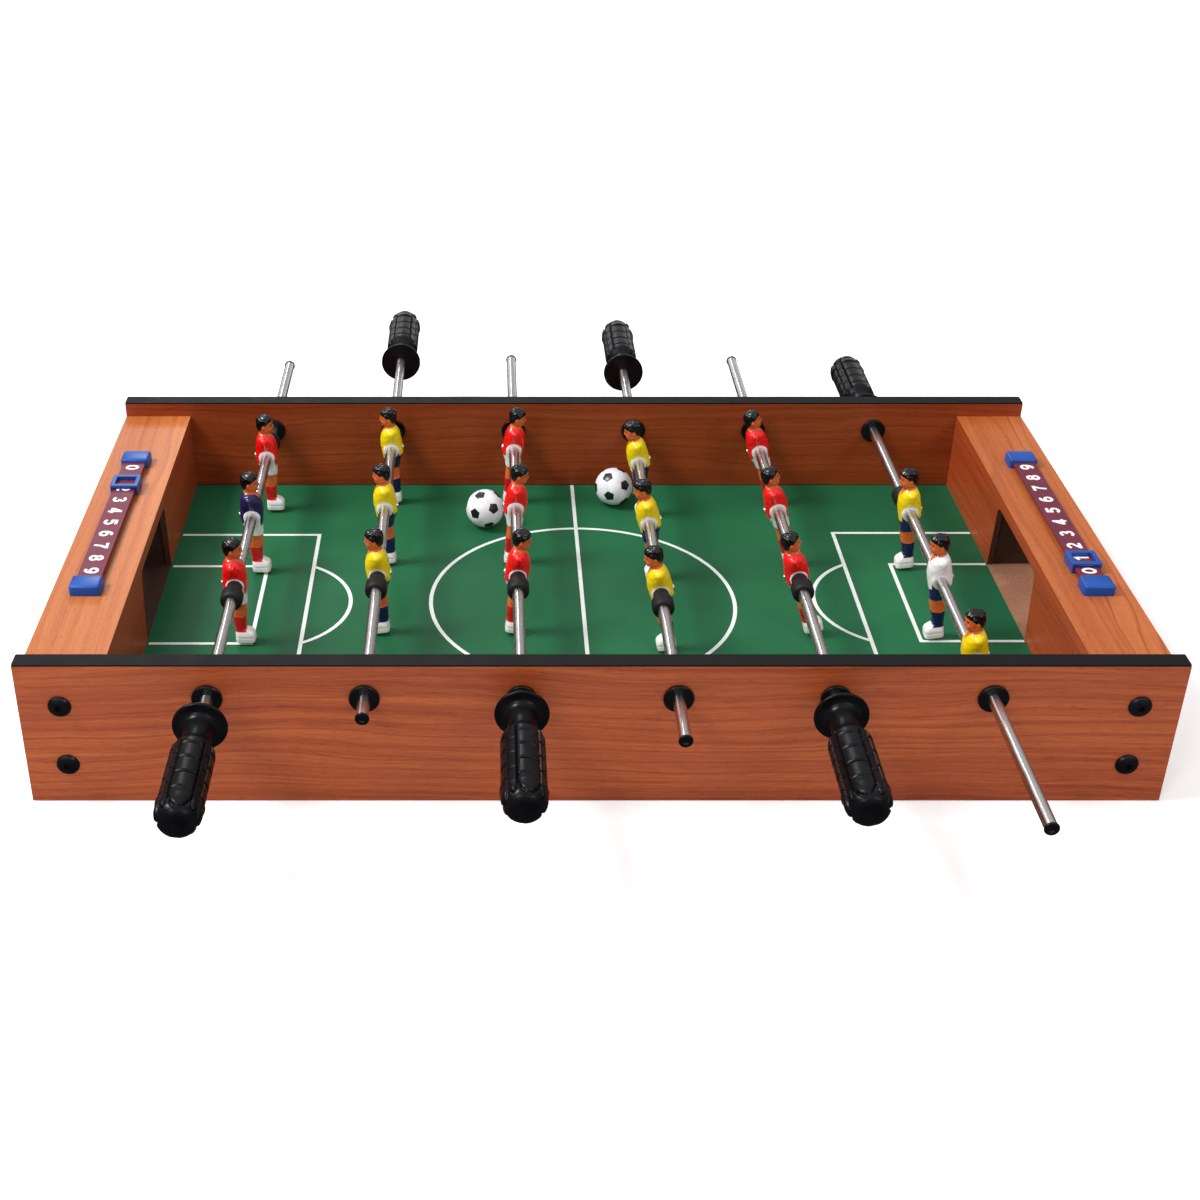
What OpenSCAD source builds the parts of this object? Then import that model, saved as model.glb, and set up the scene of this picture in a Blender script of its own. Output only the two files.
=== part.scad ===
// Tabletop foosball: an open wooden box with six sliding, spinning rods of three players each.
// Origin: centre of the underside. X runs along the table, +Y to the back, +Z up.

/* [Cabinet] */
// Length of the two long side panels
table_len = 690; // [680:1:700]
// Overall depth over both long panels
table_dep = 383; // [376:1:390]
// Height of the long panels, edge band included
panel_h = 98.5; // [96:0.5:104]
// Thickness of the long panels and of the outer end boards
panel_t = 12; // [10:0.5:13]
// Width of the level top board at each end
end_w = 49.5; // [46:0.5:52]
// Height of the end top boards above the underside
end_top_z = 87.3; // [84:0.1:90]
// Thickness of the end top boards
end_top_t = 6.3; // [5:0.1:7]
// Height of the playing surface above the underside
field_z = 28.6; // [27:0.1:29]
// Thickness of the playing board and of the end floors
field_t = 5; // [3:0.5:6]
// Thickness of the black edge band
band_t = 1; // [0.5:0.1:2]

/* [Goals] */
// Width of the goal mouth at the floor
goal_w_low = 103; // [90:1:110]
// Width of the goal mouth at its top
goal_w_high = 95; // [80:1:100]
// Height of the goal mouth
goal_h = 49.4; // [44:0.1:50]
// Thickness of the upright board with the goal mouth
goal_t = 4.2; // [3:0.1:12]
// Width of the ball pick-up opening in each outer end board
pickup_w = 90; // [70:1:100]
// Height of the ball pick-up opening
pickup_h = 36; // [32:1:38]

/* [Rods] */
// Distance from rod to rod
rod_pitch = 92.87; // [92.5:0.01:94]
// Height of the rod axes above the underside
rod_z = 75.4; // [75.2:0.1:76]
// Outer diameter of the rods
rod_d = 7.5; // [7:0.1:8]
// Wall thickness of the rod tube
rod_wall = 1; // [0.8:0.1:1.5]
// Distance from player to player on a rod
player_pitch = 95.5; // [94:0.5:97]
// Distance from the middle player to the handle flange
handle_at = 260; // [255:1:270]
// Distance from the middle player to the free end of the end cap
free_end = 267; // [262:1:275]
// Outer diameter of the bushing flanges
bush_flange_d = 18.3; // [16:0.1:20]
// Outer diameter of the bushing barrel
bush_barrel_d = 12; // [10.5:0.1:13]
// Radial running clearance of the rods in the bushings and the bumpers
run_gap = 0.06; // [0.02:0.01:0.1]

/* [Handles] */
// Overall length of a handle
handle_len = 94; // [90:1:100]
// Diameter of the handle flange
handle_flange_d = 32.4; // [28:0.1:35]
// Diameter of the grip
grip_d = 25.5; // [23:0.1:27]
// Diameter of the neck behind the flange
neck_d = 17; // [14:0.5:20]

/* [Bumpers] */
// Length of a rubber bumper
bumper_len = 20.2; // [18:0.1:21]
// Diameter of the bumper ring
bumper_ring_d = 14.5; // [13:0.1:16]
// Diameter of the bumper neck
bumper_neck_d = 10.5; // [9.5:0.1:12]

/* [Balls] */
// Diameter of the balls
ball_d = 28.6; // [27:0.1:28.7]
// Ball 1, position along the table
ball1_x = 30.5; // [10:0.1:30.5]
// Ball 1, position across the table
ball1_y = 147.4; // [147.4:0.1:150]
// Ball 2, position along the table
ball2_x = -68.2; // [-90:0.1:-68.2]
// Ball 2, position across the table
ball2_y = 111.3; // [105:0.1:115]

/* [Scorers] */
// Distance of the scorer's centre line from the table's middle
score_x = 322.6; // [321:0.1:324]
// Position of the scorer's centre across the table
score_y = 5.5; // [0:0.1:10]
// Length of the scorer over its two end clamps
score_len = 198; // [190:1:200]
// Width of the number strip
strip_w = 15.9; // [14:0.1:17]
// Left marker, position across the table
mark_left_y = 55.6; // [-60:0.1:75]
// Right marker, position across the table
mark_right_y = -55.4; // [-60:0.1:75]

/* [Hidden] */
$fn = 48;
eps = 0.01;      // how far a cutting shape runs past a face
fit = 0.05;      // radial gap of pieces that are fixed to each other
gap = 0.3;       // gap between pieces that move against each other

len_in = table_len - 2 * end_w;      // length of the playing area
wid_in = table_dep - 2 * panel_t;    // width between the long panels
half_w = wid_in / 2;
board_top = end_top_z - end_top_t;   // top of the upright end boards
x_goal = len_in / 2;                 // inner face of a goal board
x_outer = table_len / 2 - panel_t;   // inner face of an outer end board
block_d = 20;                        // depth of a corner block
block_z = 12;                        // height of a corner block's lower end
batten_w = 35;                       // width of a batten under the playing board
batten_x = 195;                      // distance of the outer battens from the middle
screw_z = [27.3, 69.5];              // heights of the cabinet screws
screw_x = 320;                       // distance of the cabinet screws from the middle
screw_hole_d = 4.2;                  // hole for a cabinet screw
screw_head_d = 14;                   // dome head of a cabinet screw
socket_d = 4.6;                      // hexagon socket, over its corners
corner_r = 6;                        // rounding of the goal mouth's upper corners
wall_t = 4;                          // thickness of the walls beside a goal
wall_y = goal_w_low / 2 + 1;         // inner face of such a wall
pickup_z = field_z + 4;              // lower edge of a pick-up opening
peg_d = 4;                           // peg that holds a scorer's clamp in the top board
peg_at = score_len / 2 - 8.5;        // distance of those pegs from the scorer's centre

// Per rod: rest position of the middle player, lean of the players, and which way they face
slide_rest = [40.5, 53.2, 53, 31.1, 50.6, -48.9];
lean = [0, 5.5, -7.3, 13.5, 14, 7.5];
red = [true, false, true, false, true, false];

hub_half = 6.3;      // half the width of a player's hub along the rod
hub_d = 14.6;        // diameter of that hub
bush_lip = 2;        // thickness of a bushing flange
cap_d = 8.6;         // diameter of an end plug's rim
cap_rim = 1.5;       // thickness of that rim
cap_len = 10;        // overall length of an end plug
rod_in_handle = 76;  // how deep a rod sits in its handle
pin_hole_d = 2.6;    // hole for a player's screw
pin_seat_d = 5.2;    // counterbore for its head
pin_seat_x = -8.3;   // floor of that counterbore, from the rod's axis

function rod_x(n) = (n - 3.5) * rod_pitch;
function side(n) = red[n - 1] ? -1 : 1;   // the side of the table that the handle is on

// Side outline of a player that faces +X: x, then height above the rod axis
player_side = [[-2.6, -44.6], [9.7, -44.6], [10.5, -43.6], [10.6, -38.2], [9.4, -36.4], [6.2, -35.8],
    [4.5, -34], [4.9, -28], [6, -20.6], [6, -17], [6.1, -12], [6.4, -6.8], [7.2, -1.3], [7.9, 4],
    [7.4, 9.5], [6, 14.2], [4.2, 16.4], [3.4, 18.2], [4.7, 19.4], [5, 22.4], [5.8, 24], [5, 26.6],
    [5.4, 28.8], [4.5, 31.3], [2.2, 33.2], [-0.8, 33.9], [-3.4, 33.2], [-5.6, 31.3], [-6.8, 28.2],
    [-6.7, 23.6], [-5.5, 19.4], [-6.9, 17.3], [-8, 12], [-8.3, 6], [-8.7, 0], [-8.4, -5], [-6.2, -9],
    [-4.2, -13], [-3.5, -20], [-3.3, -26], [-2.5, -34], [-2.8, -37]];
// Front outline, one half: distance from the middle, then height above the rod axis
player_half = [[5.2, -44.6], [5.3, -37], [4.5, -35.8], [3.6, -34.5], [4.1, -26], [4.3, -19], [5.6, -14],
    [6, -8], [6.1, 0], [6.2, 5.8], [7.4, 7.6], [8.8, 10.5], [8.9, 13], [7.6, 16], [4.6, 17.8],
    [3.6, 18.8], [5.4, 21], [6.2, 26], [6, 30], [4.6, 32.8], [2, 33.9]];
function flipped(pts) = [for (i = [len(pts) - 1 : -1 : 0]) [-pts[i][0], pts[i][1]]];

// ---------- cabinet ----------

module at_rods() for (n = [1:6]) translate([rod_x(n), 0, rod_z]) children();

// A rod along Y through the origin, pointing at the given side
module along_y(s = 1) rotate([-90 * s, 0, 0]) children();

module long_panel(s) {
    difference() {
        translate([-table_len / 2, s > 0 ? half_w : -table_dep / 2, 0])
            cube([table_len, panel_t, panel_h - band_t]);
        at_rods() along_y(s) cylinder(d = bush_barrel_d + 2 * fit, h = table_dep);
        for (x = [-screw_x, screw_x], z = screw_z) translate([x, 0, z])
            along_y(s) cylinder(d = screw_hole_d, h = table_dep);
    }
}

module panel_front() color("#9c4a28") long_panel(-1);

module panel_back() color("#9c4a28") long_panel(1);

module edge_bands() color("#2a2523") for (s = [-1, 1])
    translate([-table_len / 2, s > 0 ? half_w : -table_dep / 2, panel_h - band_t])
        linear_extrude(band_t) union() {
            translate([1, 0]) square([table_len - 2, panel_t]);
            translate([0, 1]) square([table_len, panel_t - 2]);
            for (x = [1, table_len - 1], y = [1, panel_t - 1]) translate([x, y]) circle(r = 1, $fn = 24);
        }

// Rounded upper corner of the goal mouth as a run of points
function goal_corner(s) = [for (a = s > 0 ? [5:17:90] : [90:17:175])
    [s * (goal_w_high / 2 - corner_r) + corner_r * cos(a), goal_h - corner_r + corner_r * sin(a)]];

module goal_board(s) {
    translate([s * (x_goal + goal_t / 2), 0, field_z]) difference() {
        translate([-goal_t / 2, -half_w, 0]) cube([goal_t, wid_in, board_top - field_z]);
        rotate([90, 0, 90]) translate([0, 0, -goal_t]) linear_extrude(2 * goal_t)
            polygon(concat([[-goal_w_low / 2, -1], [goal_w_low / 2, -1]], goal_corner(1), goal_corner(-1)));
    }
}

module goal_board_left() color("#a5532f") goal_board(-1);

module goal_board_right() color("#a5532f") goal_board(1);

// The walls that keep the ball between the goal mouth and the pick-up opening
module goal_walls() color("#6b4630") for (s = [-1, 1], e = [-1, 1])
    translate([s > 0 ? x_goal + goal_t : -x_outer, e > 0 ? wall_y : -wall_y - wall_t, field_z])
        cube([x_outer - x_goal - goal_t, wall_t, board_top - field_z]);

module end_boards_outer() color("#9c4a28") for (s = [-1, 1])
    translate([s > 0 ? x_outer : -table_len / 2, 0, 0]) difference() {
        translate([0, -half_w, 0]) cube([panel_t, wid_in, board_top]);
        translate([-eps, 0, pickup_z + pickup_h / 2]) rotate([90, 0, 90])
            linear_extrude(panel_t + 2 * eps) union() {
                square([pickup_w - pickup_h, pickup_h], center = true);
                for (y = [-1, 1]) translate([y * (pickup_w - pickup_h) / 2, 0]) circle(d = pickup_h);
            }
    }

module end_top(s) {
    difference() {
        translate([s > 0 ? x_goal : -table_len / 2, -half_w, board_top]) cube([end_w, wid_in, end_top_t]);
        for (e = [-1, 1]) translate([s * score_x, score_y + e * peg_at, end_top_z - 4])
            cylinder(d = peg_d + 2 * fit, h = 5);
    }
}

module end_top_left() color("#d98a55") end_top(-1);

module end_top_right() color("#d98a55") end_top(1);

module end_floors() color("#b98a5e") for (s = [-1, 1]) difference() {
    translate([s > 0 ? x_goal : -x_outer, -half_w, field_z - field_t])
        cube([x_outer - x_goal, wid_in, field_t]);
    block_spaces(s);
}

// The room that the corner blocks of one end take
module block_spaces(s) for (e = [-1, 1])
    translate([s > 0 ? x_goal + goal_t : -x_outer, e > 0 ? half_w - block_d : -half_w, block_z])
        cube([x_outer - x_goal - goal_t, block_d, board_top - block_z]);

module corner_blocks() color("#c9a677") difference() {
    for (s = [-1, 1]) block_spaces(s);
    for (x = [-screw_x, screw_x], z = screw_z, s = [-1, 1]) translate([x, 0, z])
        along_y(s) cylinder(d = screw_hole_d, h = half_w + eps);
}

module playfield() color("#2f7a45")
    translate([-x_goal, -half_w, field_z - field_t]) cube([len_in, wid_in, field_t]);

module battens() color("#c9a677") for (x = [-batten_x, 0, batten_x])
    translate([x - batten_w / 2, -half_w, 0]) cube([batten_w, wid_in, field_z - field_t]);

// Dome-head bolt with a hexagon socket
module cabinet_screw() rotate_extrude() polygon([[0, -29], [1.4, -29], [2, -27.5], [2, 0],
    [screw_head_d / 2, 0], [screw_head_d / 2 - 0.1, 0.9], [5.9, 2], [4.2, 2.8], [2.6, 3.1], [0, 3.1]]);

module cabinet_screws() color("#1c1b1c") for (x = [-screw_x, screw_x], z = screw_z, s = [-1, 1])
    translate([x, s * table_dep / 2, z]) along_y(s) difference() {
        cabinet_screw();
        translate([0, 0, 1.1]) cylinder(d = socket_d, h = 3, $fn = 6);
    }

module bushing_sleeves() color("#19191b") for (s = [-1, 1]) at_rods()
    translate([0, s * half_w, 0]) along_y(s) rotate_extrude()
        polygon([[rod_d / 2 + run_gap, -bush_lip], [bush_barrel_d / 2, -bush_lip],
            [bush_barrel_d / 2, panel_t], [bush_flange_d / 2, panel_t],
            [bush_flange_d / 2, panel_t + bush_lip - 0.5], [bush_flange_d / 2 - 0.5, panel_t + bush_lip],
            [rod_d / 2 + run_gap, panel_t + bush_lip]]);

module bushing_rings() color("#19191b") for (s = [-1, 1]) at_rods()
    translate([0, s * half_w, 0]) along_y(s) rotate_extrude()
        polygon([[bush_barrel_d / 2 + fit, -bush_lip], [bush_flange_d / 2 - 0.5, -bush_lip],
            [bush_flange_d / 2, 0.5 - bush_lip], [bush_flange_d / 2, 0], [bush_barrel_d / 2 + fit, 0]]);

// ---------- rods ----------

// Places what turns and slides with rod n: origin on the axis at its middle player
module on_rod(n) translate([rod_x(n), slide_rest[n - 1], rod_z]) children();

// The same, leaning and facing as the players of rod n do
module on_players(n) on_rod(n) rotate([0, -lean[n - 1], 0]) rotate([0, 0, red[n - 1] ? 0 : 180]) children();

module rod(n) color("#c9c9cc") difference() {
    on_rod(n) along_y(side(n)) translate([0, 0, -(free_end - cap_rim)])
        rotate_extrude() translate([rod_d / 2 - rod_wall, 0])
            square([rod_wall, free_end - cap_rim + handle_at + rod_in_handle]);
    on_players(n) for (k = [-1:1]) translate([-5, k * player_pitch, 0])
        rotate([0, 90, 0]) cylinder(d = pin_hole_d, h = 5, $fn = 24);
}

// Outline of a handle from its flange to its domed end: radius, then distance
handle_outline = [[rod_d / 2 + fit, 0], [handle_flange_d / 2 - 0.6, 0], [handle_flange_d / 2, 0.7],
    [handle_flange_d / 2, 1.6], [handle_flange_d / 2 - 1.2, 2.4], [neck_d / 2 + 1.6, 4.6],
    [neck_d / 2 + 0.2, 8], [neck_d / 2, 12], [neck_d / 2 + 0.4, 18], [grip_d / 2 - 1, 26.4],
    [grip_d / 2, 28.4], [grip_d / 2, handle_len - 13], [grip_d / 2 - 0.7, handle_len - 8.5],
    [grip_d / 2 - 2.8, handle_len - 4.6], [grip_d / 2 - 6.4, handle_len - 1.5],
    [grip_d / 2 - 10, handle_len - 0.2], [0, handle_len], [0, rod_in_handle],
    [rod_d / 2 + fit, rod_in_handle]];
groove_at = [34.1, 47.1, 60.9, 74.9];   // cross grooves between the grip's blocks

module handle(n) color("#1b1b1d") on_rod(n) along_y(side(n)) translate([0, 0, handle_at]) difference() {
    rotate_extrude() polygon(handle_outline);
    for (a = [0:45:315]) rotate([0, 0, a + 25])
        translate([grip_d / 2 - 0.9, -0.7, 28]) cube([3, 1.4, handle_len - 40]);
    for (a = [0:90:270], z = groove_at) rotate([0, 0, a])
        translate([grip_d / 2 - 0.8, -4.6, z - 0.6]) cube([3, 9.2, 1.2]);
}

// Plug in the open end of a rod: a barrel inside the tube and a rim over its end
module end_cap(n) color("#1b1b1d") on_rod(n) along_y(-side(n)) translate([0, 0, free_end])
    rotate_extrude() polygon([[0, -cap_len], [rod_d / 2 - rod_wall - 0.6, -cap_len],
        [rod_d / 2 - rod_wall - fit, 1 - cap_len], [rod_d / 2 - rod_wall - fit, -cap_rim],
        [cap_d / 2, -cap_rim], [cap_d / 2, -0.6], [cap_d / 2 - 0.4, -0.2], [cap_d / 2 - 1.4, 0], [0, 0]]);

module bumpers(n) color("#161616") on_rod(n) for (s = [-1, 1]) along_y(s)
    translate([0, 0, player_pitch + hub_half + gap]) rotate_extrude()
        polygon([[rod_d / 2 + run_gap, 0], [bumper_neck_d / 2, 0], [bumper_neck_d / 2, 7.6],
            [bumper_ring_d / 2 - 0.9, 9], [bumper_ring_d / 2, 10.4], [bumper_ring_d / 2, bumper_len - 1.6],
            [bumper_ring_d / 2 - 1.4, bumper_len], [rod_d / 2 + run_gap, bumper_len]]);

module player() difference() {
    union() {
        intersection() {
            rotate([90, 0, 0]) translate([0, 0, -10]) linear_extrude(20) polygon(player_side);
            rotate([90, 0, 90]) translate([0, 0, -12]) linear_extrude(26)
                polygon(concat(player_half, flipped(player_half)));
        }
        rotate([90, 0, 0]) cylinder(d = hub_d, h = 2 * hub_half, center = true);
    }
    rotate([90, 0, 0]) cylinder(r = rod_d / 2 + fit, h = 40, center = true);
    translate([-12, 0, 0]) rotate([0, 90, 0]) cylinder(d = pin_hole_d, h = 12, $fn = 24);
    translate([-12, 0, 0]) rotate([0, 90, 0]) cylinder(d = pin_seat_d, h = 12 + pin_seat_x, $fn = 24);
}

module place_players(n, places) on_players(n) for (k = places) translate([0, k * player_pitch, 0]) player();

// The outfield players of rod n; the middle place of the two outer rods belongs to a goalkeeper
module players(n) color(red[n - 1] ? "#c8202c" : "#f2c814")
    place_players(n, n == 1 || n == 6 ? [-1, 1] : [-1, 0, 1]);

module keeper_1() color("#23205a") place_players(1, [0]);

module keeper_6() color("#e9e9ec") place_players(6, [0]);

module player_screw() rotate([0, 90, 0]) rotate_extrude($fn = 24) polygon([[0, -9.8], [1, -9.7],
    [2, -9.2], [2.3, -8.5], [2.3, -8.35], [1.1, -8.35], [1.1, -1.6], [0, -1]]);

module player_screws(n) color("#b9b9bd") on_players(n) for (k = [-1:1])
    translate([0, k * player_pitch, 0]) player_screw();

// ---------- scorers ----------

strip_top = end_top_z + 4.7;   // upper face of a number strip
strip_t = 2;                   // thickness of a number strip
clamp_l = 15.5;                // length of an end clamp
clamp_h = 7.2;                 // height of an end clamp
clamp_w = 20;                  // width of an end clamp
mark_l = 18.2;                 // length of a marker
mark_w = 19.3;                 // width of a marker
window_w = 13.5;               // width of its window
window_l = 11.2;               // length of its window

module score_strips() color("#7a2438") for (s = [-1, 1])
    translate([s * score_x - strip_w / 2, score_y - score_len / 2 + 4, strip_top - strip_t])
        cube([strip_w, score_len - 8, strip_t]);

module score_clamp() difference() {
    union() {
        rotate([90, 0, 90]) translate([0, 0, -clamp_w / 2]) linear_extrude(clamp_w) union() {
            square([clamp_l - 2.5, clamp_h]);
            square([clamp_l, clamp_h - 2.5]);
            translate([clamp_l - 2.5, clamp_h - 2.5]) circle(r = 2.5, $fn = 32);
        }
        translate([0, peg_at - (score_len / 2 - clamp_l), -3.8]) cylinder(d = peg_d, h = 5);
    }
    translate([-strip_w / 2 - fit, -eps, strip_top - strip_t - end_top_z - fit])
        cube([strip_w + 2 * fit, clamp_l - 3.9, strip_t + 2 * fit]);
}

module score_clamps() color("#2f6cc9") for (s = [-1, 1], e = [0, 180])
    translate([s * score_x, score_y, end_top_z]) rotate([0, 0, e])
        translate([0, score_len / 2 - clamp_l, 0]) score_clamp();

module marker() difference() {
    translate([-mark_w / 2, -mark_l / 2, gap]) cube([mark_w, mark_l, clamp_h]);
    translate([-strip_w / 2 - gap, -mark_l, strip_top - strip_t - end_top_z - gap])
        cube([strip_w + 2 * gap, 2 * mark_l, strip_t + 2 * gap]);
    translate([-window_w / 2, -window_l / 2, strip_top - end_top_z]) cube([window_w, window_l, clamp_h]);
}

module marker_left() color("#2f6cc9") translate([-score_x, mark_left_y, end_top_z]) marker();

module marker_right() color("#2f6cc9") translate([score_x, mark_right_y, end_top_z]) marker();

// ---------- balls ----------

module ball(x, y) color("#f4f4f4")
    translate([x, y, field_z + 0.15 + ball_d / 2]) sphere(d = ball_d, $fn = 64);

panel_front();
panel_back();
edge_bands();
goal_board_left();
goal_board_right();
goal_walls();
end_boards_outer();
end_top_left();
end_top_right();
end_floors();
corner_blocks();
playfield();
battens();
cabinet_screws();
bushing_sleeves();
bushing_rings();
rod(1);  // rod_1
rod(2);  // rod_2
rod(3);  // rod_3
rod(4);  // rod_4
rod(5);  // rod_5
rod(6);  // rod_6
handle(1);  // handle_1
handle(2);  // handle_2
handle(3);  // handle_3
handle(4);  // handle_4
handle(5);  // handle_5
handle(6);  // handle_6
end_cap(1);  // end_cap_1
end_cap(2);  // end_cap_2
end_cap(3);  // end_cap_3
end_cap(4);  // end_cap_4
end_cap(5);  // end_cap_5
end_cap(6);  // end_cap_6
bumpers(1);  // bumpers_1
bumpers(2);  // bumpers_2
bumpers(3);  // bumpers_3
bumpers(4);  // bumpers_4
bumpers(5);  // bumpers_5
bumpers(6);  // bumpers_6
players(1);  // players_1
players(2);  // players_2
players(3);  // players_3
players(4);  // players_4
players(5);  // players_5
players(6);  // players_6
keeper_1();
keeper_6();
player_screws(1);  // player_screws_1
player_screws(2);  // player_screws_2
player_screws(3);  // player_screws_3
player_screws(4);  // player_screws_4
player_screws(5);  // player_screws_5
player_screws(6);  // player_screws_6
score_strips();
score_clamps();
marker_left();
marker_right();
ball(ball1_x, ball1_y);  // ball_1
ball(ball2_x, ball2_y);  // ball_2
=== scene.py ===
import math

import bmesh
import bpy
import numpy as np
from mathutils import Matrix, Vector


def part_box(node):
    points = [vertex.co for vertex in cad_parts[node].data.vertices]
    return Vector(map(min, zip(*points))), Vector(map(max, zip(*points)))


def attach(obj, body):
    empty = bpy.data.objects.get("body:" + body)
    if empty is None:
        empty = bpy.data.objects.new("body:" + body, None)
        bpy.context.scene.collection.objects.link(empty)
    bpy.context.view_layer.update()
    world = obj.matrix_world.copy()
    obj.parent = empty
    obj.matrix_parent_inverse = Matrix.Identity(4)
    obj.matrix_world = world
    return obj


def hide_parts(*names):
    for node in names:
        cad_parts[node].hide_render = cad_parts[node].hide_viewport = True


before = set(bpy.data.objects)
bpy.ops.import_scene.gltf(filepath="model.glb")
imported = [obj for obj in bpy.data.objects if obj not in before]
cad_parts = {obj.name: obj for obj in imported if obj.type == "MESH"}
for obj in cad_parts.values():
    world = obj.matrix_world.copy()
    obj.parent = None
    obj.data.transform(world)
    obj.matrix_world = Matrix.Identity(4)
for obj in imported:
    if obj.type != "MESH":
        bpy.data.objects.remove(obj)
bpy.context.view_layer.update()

MM = 0.001
RODS = range(1, 7)
RED = {1, 3, 5}                                   # rods of the red team, which face +X
LEAN = {1: 0, 2: 5.5, 3: -7.3, 4: 13.5, 5: 14, 6: 7.5}  # degrees; feet towards +X
PLAYER_PITCH = 95.5                               # mm, from player to player
HUB_HALF = 6.3                                    # mm, half a player's width at the rod
ROD_R = 3.8                                       # mm, radius of the bores that the rods go through
CAMERA_DOWN = 30.71                               # degrees that the camera looks down
scene = bpy.context.scene


def lin(colour):
    """#rrggbb to a linear RGBA."""
    v = [int(colour[i:i + 2], 16) / 255 for i in (1, 3, 5)]
    return tuple(c / 12.92 if c <= 0.04045 else ((c + 0.055) / 1.055) ** 2.4 for c in v) + (1,)


def smoothstep(x, a, b):
    t = np.clip((x - a) / (b - a), 0, 1)
    return t * t * (3 - 2 * t)


# ---------- camera ----------

cam = bpy.data.objects.new("camera", bpy.data.cameras.new("camera"))
scene.collection.objects.link(cam)
cam.data.sensor_width, cam.data.lens = 36, 51.85  # mm
cam.data.shift_x = 0.0939                         # the photograph is framed off its centre
cam.data.clip_start, cam.data.clip_end = 0.05, 60
cam.location = (-0.0666, -1.0395, 0.6465)
cam.rotation_euler = (math.radians(90 - CAMERA_DOWN), 0, 0)
scene.camera = cam


# ---------- materials ----------

class Graph:
    """A material's node graph."""

    def __init__(self, name, **values):
        self.mat = bpy.data.materials.new(name)
        self.mat.use_nodes = True
        self.tree = self.mat.node_tree
        self.shader = self.tree.nodes["Principled BSDF"]
        self.set(**values)

    def set(self, **values):
        for key, value in values.items():
            self.put(self.shader.inputs[key.replace("_", " ")], value)

    def put(self, socket, value):
        if isinstance(value, bpy.types.NodeSocket):
            self.tree.links.new(value, socket)
        else:
            socket.default_value = value

    def add(self, kind, **props):
        node = self.tree.nodes.new("ShaderNode" + kind)
        for key, value in props.items():
            setattr(node, key, value)
        return node

    def math(self, op, a, b=0.0, c=0.0, clamp=False):
        node = self.add("Math", operation=op, use_clamp=clamp)
        for socket, value in zip(node.inputs, (a, b, c)):
            self.put(socket, value)
        return node.outputs[0]

    def vector(self, op, a, b=(0, 0, 0)):
        node = self.add("VectorMath", operation=op)
        self.put(node.inputs[0], a)
        if op == "SCALE":
            self.put(node.inputs["Scale"], b)
        else:
            self.put(node.inputs[1], b)
        return node.outputs["Value" if op in ("LENGTH", "DISTANCE", "DOT_PRODUCT") else "Vector"]

    def place(self):
        return self.add("TexCoord").outputs["Object"]

    def split(self, vec):
        node = self.add("SeparateXYZ")
        self.put(node.inputs[0], vec)
        return node.outputs

    def join(self, x, y, z):
        node = self.add("CombineXYZ")
        for socket, value in zip(node.inputs, (x, y, z)):
            self.put(socket, value)
        return node.outputs[0]

    def noise(self, vec, scale=1.0, detail=3.0, rough=0.5, warp=0.0):
        node = self.add("TexNoise")
        for key, value in (("Vector", vec), ("Scale", scale), ("Detail", detail),
                           ("Roughness", rough), ("Distortion", warp)):
            self.put(node.inputs[key], value)
        return node.outputs[0]

    def ramp(self, fac, stops, kind="LINEAR"):
        node = self.add("ValToRGB")
        node.color_ramp.interpolation = kind
        marks = node.color_ramp.elements
        while len(marks) < len(stops):
            marks.new(0.5)
        for mark, (at, colour) in zip(marks, stops):
            mark.position = at
            mark.color = lin(colour) if isinstance(colour, str) else (colour,) * 3 + (1,)
        self.put(node.inputs[0], fac)
        return node.outputs[0]

    def mix(self, fac, a, b, kind="MIX"):
        node = self.add("Mix", data_type="RGBA", blend_type=kind)
        for key, value in ((0, fac), (6, a), (7, b)):
            self.put(node.inputs[key], value)
        return node.outputs[2]

    def span(self, value, lo, hi, to_lo=0.0, to_hi=1.0):
        node = self.add("MapRange")
        for socket, v in zip(node.inputs, (value, lo, hi, to_lo, to_hi)):
            self.put(socket, v)
        return node.outputs[0]

    def weigh(self, *terms):
        """The sum of values times weights."""
        parts = [self.math("MULTIPLY", value, weight) for value, weight in terms]
        total = parts[0]
        for part in parts[1:]:
            total = self.math("ADD", total, part)
        return total

    def mottle(self, cloud, colour, vary):
        """The colour, from vary darker to vary lighter as the noise goes."""
        dark, light = (tuple(min(1, c * (1 + k)) for c in lin(colour)[:3]) + (1,) for k in (-vary, vary))
        return self.mix(self.span(cloud, 0.35, 0.65), dark, light)

    def bump(self, height, distance, strength=1.0, after=None):
        node = self.add("Bump")
        self.put(node.inputs["Strength"], strength)
        self.put(node.inputs["Distance"], distance)
        self.put(node.inputs["Height"], height)
        if after is not None:
            self.put(node.inputs["Normal"], after)
        self.put(self.shader.inputs["Normal"], node.outputs[0])
        return node.outputs[0]

    def mask(self, name, edge=0.1):
        """1 where the mesh attribute, a signed distance in millimetres, is positive."""
        node = self.add("Attribute", attribute_name=name)
        return self.span(node.outputs["Fac"], -edge / 2, edge / 2)


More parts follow.
